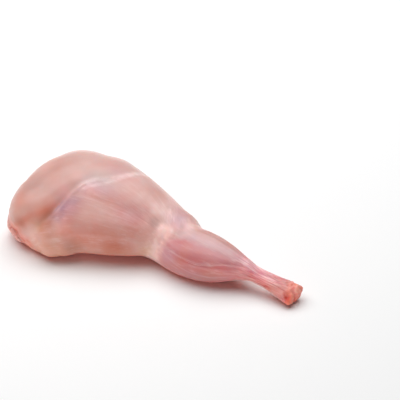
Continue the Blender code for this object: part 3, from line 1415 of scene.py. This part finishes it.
@dataclass(frozen=True)
class FleshFinish:
    """Moist pale flesh: fibres, membranes and tints over each other, with painted shade and sheen among
    the tints.
    """

    rump: Colour = (0.68, 0.425, 0.385, 1)
    thigh: Colour = (0.70, 0.39, 0.35, 1)
    shank: Colour = (0.58, 0.215, 0.225, 1)
    # Deep red of the muscles, also laid as random mottling and as painted shade on the rump's roll and
    # the low thigh.
    blush_and_shade: Colour = (0.66, 0.23, 0.16, 1)
    # Ochre of the lobe, also laid as painted shade on the low thigh.
    peach_and_shade: Colour = (0.71, 0.34, 0.235, 1)
    # Dark purple of the painted shade along the furrow.
    furrow_shade: Colour = (0.42, 0.215, 0.265, 1)
    # Lilac of membrane, also laid as painted sheen along the shank's top.
    lilac_and_sheen: Colour = (0.62, 0.40, 0.48, 1)
    # Whitish membrane, also laid as painted sheen along the shank's top.
    silver_and_sheen: Colour = (0.88, 0.64, 0.61, 1)
    pale: Colour = (0.96, 0.60, 0.55, 1)
    tendon: Colour = (0.80, 0.31, 0.30, 1)
    coral: Colour = (0.92, 0.25, 0.17, 1)
    thread: Colour = (0.95, 0.64, 0.62, 1)
    deep: Colour = (0.60, 0.13, 0.16, 1)
    # Deep red of pooled blood and of painted shade on the underside.
    under: Colour = (0.75, 0.13, 0.08, 1)
    # Dark red of blood, also laid as painted shade in the lip's crease.
    blood: Colour = (0.72, 0.07, 0.05, 1)
    coarse_grain: Grain = Grain(0.8, 4.0, 0.6)
    fine_grain: Grain = Grain(2.56, 3.0, 0.6)
    thread_grain: Grain = Grain(0.8, 5.0, 0.65)
    mottle_grain: Grain = Grain(70.0, 4.0, 0.6)
    spot_grain: Grain = Grain(300.0, 4.0)
    pore_grain: Grain = Grain(900.0)
    coarse_bump: Bump = Bump(0.0004, 0.35)
    fine_bump: Bump = Bump(0.00015, 0.3)
    thread_bump: Bump = Bump(0.0003, 0.4)
    spot_bump: Bump = Bump(0.0008, 0.6)
    pore_bump: Bump = Bump(0.0001, 0.3)
    mottled: Ramp = Ramp(0.35, 0.75, 0.0, 0.40)
    coarse_streaks: Ramp = Ramp(0.5, 0.75, 0.0, 0.25)
    fine_streaks: Ramp = Ramp(0.55, 0.8, 0.0, 0.25)
    thread_gaps: Ramp = Ramp(0.52, 0.36, 0.0, 0.8)
    thread_crests: Ramp = Ramp(0.44, 0.62, 0.15, 1.0)
    blood_specks: Ramp = Ramp(0.52, 0.72, 0.0, 0.6)
    broken: Ramp = Ramp(0.3, 0.7, 0.72, 1.15)
    sheen: Ramp = Ramp(0.3, 0.7, 0.30, 0.44)
    glow: float = 0.6
    glow_reach: float = 0.005
    glow_colours: Place = (1.0, 0.42, 0.28)
    film: float = 0.12
    film_roughness: float = 0.22

    def material(self) -> bpy.types.Material:
        """Build the material.

        Returns:
            The material.
        """
        graph = Graph("raw_flesh")
        place, fibres = graph.place(), graph.directions("fibres")
        coarse = graph.calmed(graph.noise(fibres, self.coarse_grain))
        fine = graph.calmed(graph.noise(fibres, self.fine_grain))
        mottle = graph.calmed(graph.noise(place, self.mottle_grain))
        threads = graph.noise(graph.directions("strands"), self.thread_grain)
        spots = graph.noise(place, self.spot_grain)
        colour = self.muscles(graph, coarse, fine, mottle)
        colour = self.tissue(graph, colour, threads)
        colour = graph.blend(self.patchy(graph, "cut", mottle), colour, self.coral)
        bloody = graph.remap(spots, self.blood_specks)
        specks = graph.combine(Way.TIMES, graph.attribute("cut"), bloody)
        colour = graph.varied(graph.blend(specks, colour, self.blood))
        # The underside and the edge on the floor painted deep red: pooled blood and painted shade.
        colour = graph.blend(graph.attribute("under"), colour, self.under)
        # Blood, and painted shade in the lip's crease.
        colour = graph.blend(graph.attribute("blood"), colour, self.blood)
        normal = graph.bump(coarse, self.coarse_bump)
        normal = graph.bump(fine, self.fine_bump, normal)
        normal = graph.bump(threads, self.thread_bump, normal, "threads")
        normal = graph.bump(spots, self.spot_bump, normal, "cut")
        normal = graph.bump(graph.noise(place, self.pore_grain), self.pore_bump, normal)
        return graph.finish(
            Base_Color=colour,
            Roughness=graph.remap(mottle, self.sheen),
            Normal=normal,
            Subsurface_Weight=self.glow,
            Subsurface_Radius=self.glow_colours,
            Subsurface_Scale=self.glow_reach,
            Coat_Weight=self.film,
            Coat_Roughness=self.film_roughness,
        )

    def muscles(
        self,
        graph: Graph,
        coarse: bpy.types.NodeSocket,
        fine: bpy.types.NodeSocket,
        mottle: bpy.types.NodeSocket,
    ) -> bpy.types.NodeSocket:
        """Lay the muscles' colours over each other, with the fat and membrane that cover them, and
        painted shade and sheen.

        Args:
            graph: The material's nodes.
            coarse: Noise along the coarse fibres.
            fine: Noise along the fine fibres.
            mottle: Noise of the broad mottling.

        Returns:
            The socket with the colour.
        """
        colour = graph.blend(graph.attribute("thigh"), self.rump, self.thigh)
        colour = graph.blend(graph.attribute("shank"), colour, self.shank)
        colour = graph.blend(self.patchy(graph, "peach_and_shade", mottle), colour, self.peach_and_shade)
        colour = graph.blend(self.patchy(graph, "blush_and_shade", mottle), colour, self.blush_and_shade)
        colour = graph.blend(self.patchy(graph, "tendon", coarse), colour, self.tendon)
        colour = graph.blend(graph.remap(mottle, self.mottled), colour, self.blush_and_shade)
        colour = graph.blend(self.patchy(graph, "pale", coarse), colour, self.pale)
        colour = graph.blend(self.patchy(graph, "furrow_shade", mottle), colour, self.furrow_shade)
        colour = graph.blend(self.patchy(graph, "lilac_and_sheen", mottle), colour, self.lilac_and_sheen)
        colour = graph.blend(self.patchy(graph, "silver_and_sheen", coarse), colour, self.silver_and_sheen)
        colour = graph.blend(graph.remap(coarse, self.coarse_streaks), colour, self.silver_and_sheen)
        return graph.blend(graph.remap(fine, self.fine_streaks), colour, self.thigh)

    def tissue(
        self, graph: Graph, colour: bpy.types.NodeSocket, threads: bpy.types.NodeSocket
    ) -> bpy.types.NodeSocket:
        """Streak the ankle with dark threads, and lay whitish threads where they are painted.

        Args:
            graph: The material's nodes.
            colour: The colour below.
            threads: Noise along the threads.

        Returns:
            The socket with the colour.
        """
        gaps = graph.remap(threads, self.thread_gaps)
        dark = graph.combine(Way.TIMES, graph.attribute("tendon"), gaps)
        crests = graph.remap(threads, self.thread_crests)
        white = graph.combine(Way.TIMES, graph.attribute("threads"), crests)
        return graph.blend(white, graph.blend(dark, colour, self.deep), self.thread)

    def patchy(
        self, graph: Graph, name: str, breaker: bpy.types.NodeSocket
    ) -> bpy.types.NodeSocket:
        """A painted share, broken up by noise so that its edges aren't airbrushed."""
        return graph.combine(Way.TIMES, graph.attribute(name), graph.remap(breaker, self.broken))


@dataclass(frozen=True)
class TendonFinish:
    """Pearly connective tissue: whitish pink, with a moist sheen."""

    white: Colour = (0.84, 0.51, 0.48, 1)
    pink: Colour = (0.78, 0.39, 0.37, 1)
    cloud_grain: Grain = Grain(260.0, 4.0)
    pore_grain: Grain = Grain(1200.0)
    pore_bump: Bump = Bump(0.0001, 0.3)
    clouds: Ramp = Ramp(0.35, 0.65, 0.0, 1.0)
    sheen: Ramp = Ramp(0.3, 0.7, 0.27, 0.42)

    def material(self) -> bpy.types.Material:
        """Build the material.

        Returns:
            The material.
        """
        graph = Graph("tendon")
        place = graph.place()
        cloudy = graph.noise(place, self.cloud_grain)
        return graph.finish(
            Base_Color=graph.blend(graph.remap(cloudy, self.clouds), self.pink, self.white),
            Roughness=graph.remap(cloudy, self.sheen),
            Normal=graph.bump(graph.noise(place, self.pore_grain), self.pore_bump),
        )


@dataclass(frozen=True)
class CutFinish:
    """Raw cut tissue: wet coral red with darker specks of blood."""

    coral: Colour = (0.78, 0.33, 0.28, 1)
    pale: Colour = (0.80, 0.43, 0.37, 1)
    blood: Colour = (0.50, 0.08, 0.06, 1)
    cloud_grain: Grain = Grain(240.0, 4.0)
    speck_grain: Grain = Grain(300.0, 4.0)
    pore_grain: Grain = Grain(900.0, 4.0)
    pore_bump: Bump = Bump(0.00015, 0.5)
    clouds: Ramp = Ramp(0.4, 0.65, 0.0, 0.8)
    specks: Ramp = Ramp(0.5, 0.68, 0.0, 0.55)
    sheen: Ramp = Ramp(0.3, 0.7, 0.23, 0.38)

    def material(self) -> bpy.types.Material:
        """Build the material.

        Returns:
            The material.
        """
        graph = Graph("cut_face")
        place = graph.place()
        cloudy = graph.noise(place, self.cloud_grain)
        colour = graph.blend(graph.remap(cloudy, self.clouds), self.coral, self.pale)
        specks = graph.remap(graph.noise(place, self.speck_grain), self.specks)
        return graph.finish(
            Base_Color=graph.blend(specks, colour, self.blood),
            Roughness=graph.remap(cloudy, self.sheen),
            Normal=graph.bump(graph.noise(place, self.pore_grain), self.pore_bump),
        )


@dataclass(frozen=True)
class FloorFinish:
    """Plain white studio floor."""

    colour: Colour = (0.985, 0.985, 0.985, 1)
    grain: Grain = Grain(40.0)
    sheen: Ramp = Ramp(0.3, 0.7, 0.68, 0.72)

    def material(self) -> bpy.types.Material:
        """Build the material.

        Returns:
            The material.
        """
        graph = Graph("studio_floor")
        roughness = graph.remap(graph.noise(graph.place(), self.grain), self.sheen)
        return graph.finish(Base_Color=self.colour, Roughness=roughness)


# ---------------------------------------------------------------- pieces


def select_only(piece: bpy.types.Object) -> None:
    """Deselect everything, then select the piece and make it active.

    Args:
        piece: The piece to select.
    """
    bpy.ops.object.select_all(action="DESELECT")
    piece.select_set(True)
    bpy.context.view_layer.objects.active = piece


def show(piece: bpy.types.Object, material: bpy.types.Material) -> None:
    """Give the piece its material and hang it on the leg's body.

    Args:
        piece: The finished piece.
        material: The material to show.
    """
    piece.data.materials.clear()
    piece.data.materials.append(material)
    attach(piece, BODY)


def surface_of(piece: bpy.types.Object) -> BVHTree:
    """Sort the piece's faces into a tree, on which other pieces are laid.

    Args:
        piece: The piece, with its place in its mesh.

    Returns:
        The tree, in metres.
    """
    return BVHTree.FromPolygons(
        [vertex.co[:] for vertex in piece.data.vertices],
        [polygon.vertices[:] for polygon in piece.data.polygons],
    )


@dataclass
class FleshBody:
    """The leg's flesh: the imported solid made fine, then given relief and tints."""

    relief: Relief
    threads: Threads
    tones: Tones
    fibres: Fibres
    finish: FleshFinish
    levels: int = 2

    def build(self, solid: bpy.types.Object) -> bpy.types.Object:
        """Make the flesh from a copy of the solid.

        Args:
            solid: The CAD node, which stays as it is.

        Returns:
            The finished piece.
        """
        piece = bpy.data.objects.new("leg_flesh", solid.data.copy())
        bpy.context.scene.collection.objects.link(piece)
        self.refine(piece)
        self.dress(piece)
        show(piece, self.finish.material())
        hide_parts(NODE)
        return piece

    def refine(self, piece: bpy.types.Object) -> None:
        """Turn the loose triangles into a smooth fine mesh.

        Args:
            piece: The copy of the solid.
        """
        select_only(piece)
        bpy.ops.object.mode_set(mode="EDIT")
        bpy.ops.mesh.select_all(action="SELECT")
        bpy.ops.mesh.customdata_custom_splitnormals_clear()
        bpy.ops.mesh.remove_doubles(threshold=MERGE)
        bpy.ops.mesh.tris_convert_to_quads(face_threshold=math.pi, shape_threshold=math.pi)
        bpy.ops.object.mode_set(mode="OBJECT")
        finer = piece.modifiers.new("finer", "SUBSURF")
        finer.levels = finer.render_levels = self.levels
        bpy.ops.object.modifier_apply(modifier=finer.name)
        bpy.ops.object.shade_smooth()

    def dress(self, piece: bpy.types.Object) -> None:
        """Raise the relief and paint the tints.

        Args:
            piece: The fine mesh.
        """
        mesh = piece.data
        places = np.array([vertex.co[:] for vertex in mesh.vertices])
        normals = np.array([vertex.normal[:] for vertex in mesh.vertices])
        leg = Surface(to_layout(places), normals)
        fibres = self.fibres.coordinates(leg)
        height = self.relief.height(leg, fibres) + self.threads.height(leg)
        shares = {**self.tones.paint(leg), "threads": self.threads.share(leg)}
        for name, share in shares.items():
            mesh.attributes.new(name, "FLOAT", "POINT").data.foreach_set("value", share)
        for name, ways in {"fibres": fibres, "strands": self.threads.coordinates(leg)}.items():
            mesh.attributes.new(name, "FLOAT_VECTOR", "POINT").data.foreach_set("vector", ways.ravel())
        raised = places + normals * height[:, None] * METRES
        raised[:, 2] = np.maximum(raised[:, 2], 0.0)
        mesh.vertices.foreach_set("co", raised.ravel())
        mesh.update()


@dataclass(frozen=True)
class Strand:
    """A flat strand of tissue that lies on the flesh and runs out to a point at both ends."""

    path: Trace
    width: float
    height: float
    sides: int = 10
    taper: float = 0.6
    uneven: float = 0.45
    uneven_length: float = 5.0
    smoothings: int = 3

    def build(self, ground: BVHTree, seed: float) -> bpy.types.Object:
        """Roll a grid into a flat tube along the path.

        Args:
            ground: The flesh's surface, in metres.
            seed: Makes the strand's uneven width its own.

        Returns:
            The strand, as an object of its own.
        """
        line = self.path.smooth()
        rows = len(line) - 1
        bpy.ops.object.select_all(action="DESELECT")
        bpy.ops.mesh.primitive_grid_add(x_subdivisions=rows, y_subdivisions=self.sides, size=1.0)
        strand = bpy.context.active_object
        places, normals = self.lay(ground, line)
        sides = np.cross(np.gradient(places, axis=0), normals)
        sides /= np.linalg.norm(sides, axis=1, keepdims=True)
        for vertex in strand.data.vertices:
            row = round((vertex.co.x + 0.5) * rows)
            turn = (vertex.co.y + 0.5) * math.tau
            share = row / rows
            girth = math.sin(math.pi * share) ** self.taper if 0 < row < rows else 0.0
            girth *= 1 + self.uneven * noise.noise(Vector((row / self.uneven_length, seed, 0.0)))
            wide = math.cos(turn) * self.width / 2 * girth
            high = math.sin(turn) * self.height * girth
            vertex.co = Vector(places[row] + (sides[row] * wide + normals[row] * high) * METRES)
        self.close(strand)
        return strand

    def lay(self, ground: BVHTree, line: np.ndarray) -> tuple[np.ndarray, np.ndarray]:
        """Lay the path's points on the flesh.

        Args:
            ground: The flesh's surface, in metres.
            line: Points of the path, in the layout.

        Returns:
            Points on the flesh, in metres, and the flesh's normals there.
        """
        found = [ground.find_nearest(Vector(place)) for place in to_metres(line)]
        places = np.array([hit[0][:] for hit in found])
        normals = np.array([hit[1][:] for hit in found])
        for _ in range(self.smoothings):
            places[1:-1] = (places[:-2] + 2 * places[1:-1] + places[2:]) / 4
            normals[1:-1] = (normals[:-2] + 2 * normals[1:-1] + normals[2:]) / 4
        return places, normals / np.linalg.norm(normals, axis=1, keepdims=True)

    def close(self, strand: bpy.types.Object) -> None:
        """Merge the tube's seam and its pointed ends.

        Args:
            strand: The rolled tube.
        """
        select_only(strand)
        bpy.ops.object.mode_set(mode="EDIT")
        bpy.ops.mesh.select_all(action="SELECT")
        bpy.ops.mesh.remove_doubles(threshold=MERGE)
        bpy.ops.object.mode_set(mode="OBJECT")
        bpy.ops.object.shade_smooth()


@dataclass(frozen=True)
class Tissue:
    """Strands of one kind that are joined into one piece."""

    name: str
    slot: Slot
    strands: tuple[Strand, ...]

    def build(self, ground: BVHTree, material: bpy.types.Material) -> bpy.types.Object:
        """Lay all the strands and join them.

        Args:
            ground: The flesh's surface, in metres.
            material: The material to show.

        Returns:
            The finished piece.
        """
        laid = [
            strand.build(ground, STRAND_SEED * number) for number, strand in enumerate(self.strands)
        ]
        bpy.ops.object.select_all(action="DESELECT")
        for strand in laid:
            strand.select_set(True)
        bpy.context.view_layer.objects.active = laid[0]
        bpy.ops.object.join()
        piece = bpy.context.active_object
        piece.name = self.name
        show(piece, material)
        return piece


# A thin pale line over the shank, and a small loose flap below the knee.
SHANK_LINE = Trace(
    ((17, -16, 20), (28, -20, 19), (39, -21, 18), (48, -18, 18), (56, -13, 17), (70, -8, 14))
)
LOOSE_FLAP = Trace(((2, -17.5, 7.5), (7, -18.5, 7.5), (11, -18.5, 7), (16, -19.5, 6)))
# Tendon down the back of the ankle to the heel.
HEEL_LINE = Trace(((60, -13, 8), (66, -12.2, 7.5), (74, -12, 6), (84, -12.6, 5), (95, -13.6, 4.5)))
# Torn edge of the lip at the hip's cut.
LIP_EDGE = Trace(
    (
        (-88, -30, 13),
        (-85.5, -35, 12),
        (-82, -37, 11),
        (-78.5, -38.5, 9.5),
        (-75, -40, 7.5),
        (-72, -41, 5),
    )
)

TISSUES = (
    Tissue("shank_tissue", Slot.TENDON, (Strand(SHANK_LINE, 0.22, 0.04), Strand(LOOSE_FLAP, 1.8, 0.5))),
    Tissue("heel_tendon", Slot.TENDON, (Strand(HEEL_LINE, 1.4, 0.6),)),
    Tissue("hip_lip", Slot.CUT, (Strand(LIP_EDGE, 3.4, 1.0),)),
)


# ---------------------------------------------------------------- studio


@dataclass(frozen=True)
class SoftBox:
    """A rectangular light that faces the leg, with lengths in metres and power in watts."""

    name: str
    place: Place
    width: float
    height: float
    power: float

    def build(self) -> None:
        """Hang the light."""
        data = bpy.data.lights.new(self.name, "AREA")
        data.shape = "RECTANGLE"
        data.size = self.width
        data.size_y = self.height
        data.energy = self.power
        light = bpy.data.objects.new(self.name, data)
        light.location = self.place
        light.rotation_euler = (-Vector(self.place)).to_track_quat("-Z", "Y").to_euler()
        bpy.context.scene.collection.objects.link(light)


@dataclass(frozen=True)
class Studio:
    """White floor, soft light from above and behind, a low light in front, and the camera."""

    floor_size: float = 8.0
    floor_drop: float = 0.0002
    key: SoftBox = SoftBox("key", (-0.26, 0.23, 0.96), 1.6, 1.0, 16.4)
    fill: SoftBox = SoftBox("fill", (0.1, -1.16, 0.07), 1.6, 0.12, 5.4)
    surround: float = 0.035
    azimuth: float = 26.0
    elevation: float = 40.0
    distance: float = 0.70
    lens: float = 100.0
    sensor: float = 36.0
    picture: int = 400
    leg_across: float = 153.5
    leg_down: float = 226.5
    leg_height: float = 17.0

    def build(self) -> None:
        """Set the floor, the lights and the camera."""
        self.floor()
        self.world()
        self.key.build()
        self.fill.build()
        self.camera()
        bpy.context.scene.view_settings.view_transform = "Standard"

    def floor(self) -> None:
        """Lay a wide plain floor just under the leg."""
        bpy.ops.object.select_all(action="DESELECT")
        bpy.ops.mesh.primitive_plane_add(size=self.floor_size, location=(0, 0, -self.floor_drop))
        floor = bpy.context.active_object
        floor.name = "floor"
        floor.data.materials.append(FloorFinish().material())

    def world(self) -> None:
        """Surround the leg with faint even white."""
        world = bpy.data.worlds.new("surround")
        world.use_nodes = True
        background = world.node_tree.nodes["Background"]
        background.inputs["Color"].default_value = (1, 1, 1, 1)
        background.inputs["Strength"].default_value = self.surround
        bpy.context.scene.world = world

    def camera(self) -> None:
        """Place the camera so that the leg's middle falls on its pixel of the picture."""
        across, up = math.radians(self.azimuth), math.radians(self.elevation)
        back = Vector((math.sin(across) * math.cos(up), -math.cos(across) * math.cos(up), math.sin(up)))
        right = Vector((math.cos(across), math.sin(across), 0.0))
        pixel = self.distance * self.sensor / (self.lens * self.picture)
        middle = Vector(to_metres(np.array((0.0, 0.0, self.leg_height))))
        target = middle - right * (self.leg_across - self.picture / 2) * pixel
        target += back.cross(right) * (self.leg_down - self.picture / 2) * pixel
        data = bpy.data.cameras.new("camera")
        data.lens = self.lens
        data.sensor_width = self.sensor
        camera = bpy.data.objects.new("camera", data)
        camera.location = target + back * self.distance
        camera.rotation_euler = (-back).to_track_quat("-Z", "Y").to_euler()
        bpy.context.scene.collection.objects.link(camera)
        bpy.context.scene.camera = camera


# ---------------------------------------------------------------- making


def main() -> None:
    """Build the leg and its studio, in order."""
    logging.basicConfig(level=logging.INFO, format="%(name)s: %(message)s")
    flesh = FleshBody(Relief(), Threads(), Tones(), Fibres(), FleshFinish()).build(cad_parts[NODE])
    LOG.info("%s has %d faces", flesh.name, len(flesh.data.polygons))
    ground = surface_of(flesh)
    finishes = {Slot.TENDON: TendonFinish().material(), Slot.CUT: CutFinish().material()}
    for tissue in TISSUES:
        piece = tissue.build(ground, finishes[tissue.slot])
        LOG.info("%s has %d faces", piece.name, len(piece.data.polygons))
    Studio().build()
    LOG.info("studio is set")


if __name__ == "__main__":
    main()
